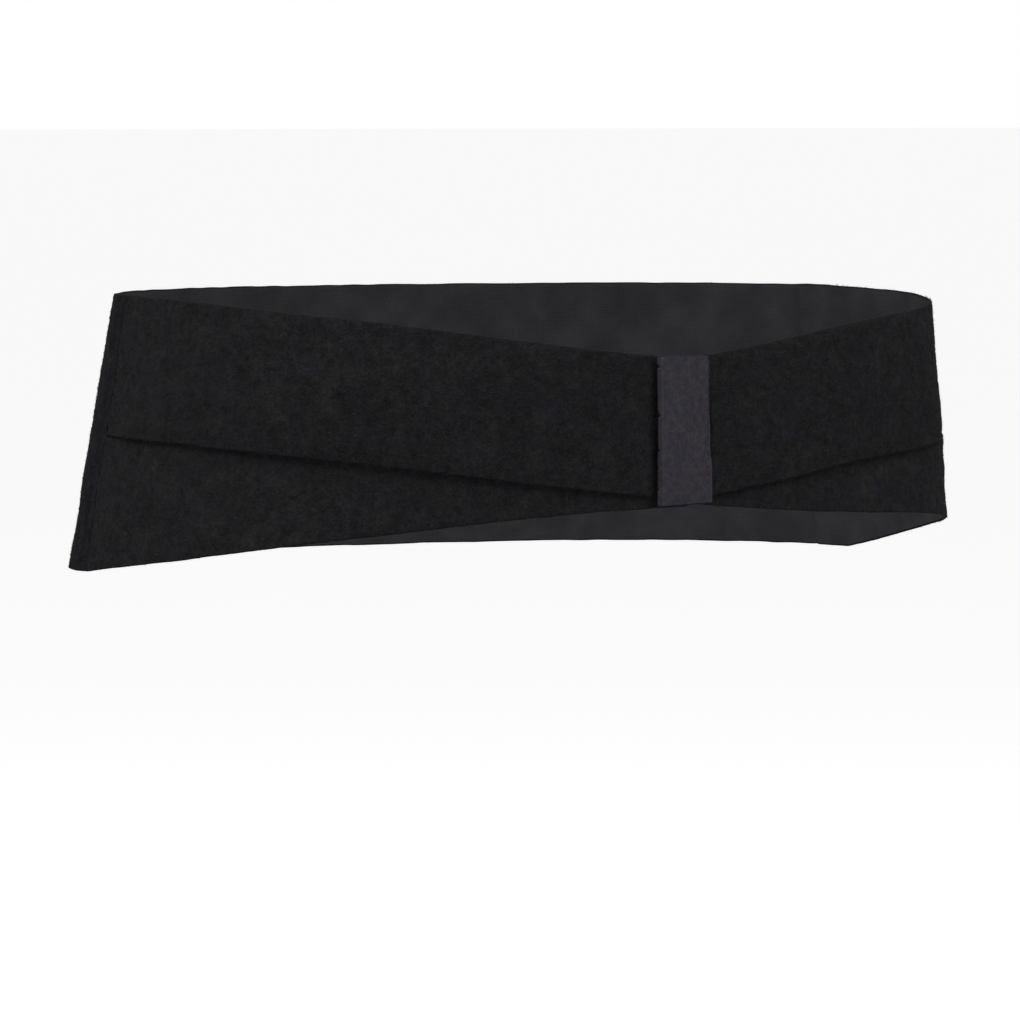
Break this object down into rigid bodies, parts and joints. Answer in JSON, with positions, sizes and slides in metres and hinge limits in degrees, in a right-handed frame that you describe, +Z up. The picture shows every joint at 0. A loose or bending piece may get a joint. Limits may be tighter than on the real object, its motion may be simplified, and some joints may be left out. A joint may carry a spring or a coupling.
{
  "type": "hernia belt",
  "caption": "Hernia support belt as worn: wide back panel, crossing pairs of loop fabric straps at each side, closed at the front by an upright hook tape tab.",
  "frame": {"origin": "on the axis of the hips that the belt goes round, at mid-height of the front closure; this is the mount hips", "axes": "+X to the wearer's left, -Y to the wearer's front where the closure is, +Z up"},
  "size_m": [0.3522, 0.2503, 0.106],
  "materials": {
    "loop_fabric": "matt brushed loop fabric, near black",
    "panel_fabric": "matt brushed fabric, near black",
    "hook_tape": "woven tape, dark warm grey"
  },
  "bodies": {
    "root": {"back_panel": "panel_fabric", "upper_strap_right": "loop_fabric", "upper_strap_left": "loop_fabric", "lower_strap_right": "loop_fabric", "lower_strap_left": "loop_fabric", "hook_tab": "hook_tape"}
  },
  "joints": []
}
